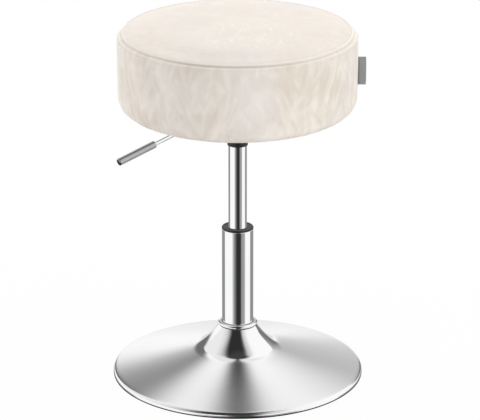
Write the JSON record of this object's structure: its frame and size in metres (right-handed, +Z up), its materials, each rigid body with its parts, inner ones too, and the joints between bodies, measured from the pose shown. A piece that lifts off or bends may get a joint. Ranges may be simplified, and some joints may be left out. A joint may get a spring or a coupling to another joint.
{
  "type": "height-adjustable stool",
  "caption": "Round upholstered swivel stool with a gas-lift column, a release lever and a trumpet base.",
  "frame": {"origin": "on the floor, under the middle of the column and the base", "axes": "+Z up the column; +X to the right and +Y away in the picture; the fabric tag is on the +X side"},
  "size_m": [0.3857, 0.385, 0.558],
  "materials": {
    "chrome": "polished chrome plate",
    "satin_chrome": "chrome plate over a spun steel sheet, slightly softened on the dish",
    "black_plastic": "moulded, satin",
    "rubber": "matt",
    "bare_steel": "oiled, turned",
    "black_steel": "black powder coat",
    "zinc_steel": "zinc plated",
    "plywood": "raw plywood",
    "foam": "open-cell upholstery foam",
    "velvet": "crushed velvet, ivory",
    "dust_cloth": "black non-woven cloth",
    "tag_ribbon": "woven grey ribbon, bare"
  },
  "bodies": {
    "base": {"base_shell": "satin_chrome", "base_rim_rubber": "rubber", "base_cover_ring": "chrome", "base_socket": "bare_steel", "base_brace": "bare_steel", "column": "chrome", "guide_bush": "black_plastic", "bearing_lower_washer": "bare_steel"},
    "bearing_cage": {"bearing_cage": "zinc_steel", "bearing_ball_1": "bare_steel", "bearing_ball_2": "bare_steel", "bearing_ball_3": "bare_steel", "bearing_ball_4": "bare_steel", "bearing_ball_5": "bare_steel", "bearing_ball_6": "bare_steel", "bearing_ball_7": "bare_steel", "bearing_ball_8": "bare_steel"},
    "rod": {"gas_rod": "bare_steel", "gas_piston": "bare_steel", "bearing_upper_washer": "bare_steel", "bump_stop": "rubber", "rod_clip_washer": "zinc_steel", "rod_clip": "zinc_steel"},
    "seat": {"gas_cylinder": "chrome", "gas_gland": "bare_steel", "mechanism_socket": "black_steel", "mechanism_plate": "black_steel", "lever_pin": "zinc_steel", "seat_board": "plywood", "tee_nut_1": "zinc_steel", "tee_nut_2": "zinc_steel", "tee_nut_3": "zinc_steel", "tee_nut_4": "zinc_steel", "lock_washer_1": "zinc_steel", "lock_washer_2": "zinc_steel", "lock_washer_3": "zinc_steel", "lock_washer_4": "zinc_steel", "mounting_bolt_1": "zinc_steel", "mounting_bolt_2": "zinc_steel", "mounting_bolt_3": "zinc_steel", "mounting_bolt_4": "zinc_steel", "foam_core": "foam", "cover_top": "velvet", "cover_band": "velvet", "welt": "velvet", "dust_cover": "dust_cloth", "label_tag": "tag_ribbon"},
    "lever": {"lever_rod": "chrome", "lever_grip": "chrome"},
    "valve": {"valve_pin": "bare_steel"}
  },
  "joints": [
    {"name": "swivel", "type": "hinge", "parent": "base", "child": "rod", "pos_m": [0, 0, 0.0264], "axis": [0, 0, 1], "continuous": true},
    {"name": "cage_roll", "type": "hinge", "parent": "base", "child": "bearing_cage", "pos_m": [0, 0, 0.02245], "axis": [0, 0, 1], "continuous": true},
    {"name": "height", "type": "slide", "parent": "rod", "child": "seat", "axis": [0, 0, 1], "range_m": [-0.12, 0]},
    {"name": "lever", "type": "hinge", "parent": "seat", "child": "lever", "pos_m": [-0.02621, -0.01835, 0.413], "axis": [-0.5736, 0.8192, 0], "range_deg": [0, 6], "stiffness_Nm_per_rad": 1.2, "springref_deg": -20.05},
    {"name": "valve_press", "type": "slide", "parent": "seat", "child": "valve", "axis": [0, 0, -1], "range_m": [0, 0.0036]}
  ],
  "couplings": [
    {"joint": "cage_roll", "follows": "swivel", "ratio": 0.5},
    {"joint": "valve_press", "follows": "lever", "m_per_rad": 0.0335}
  ]
}
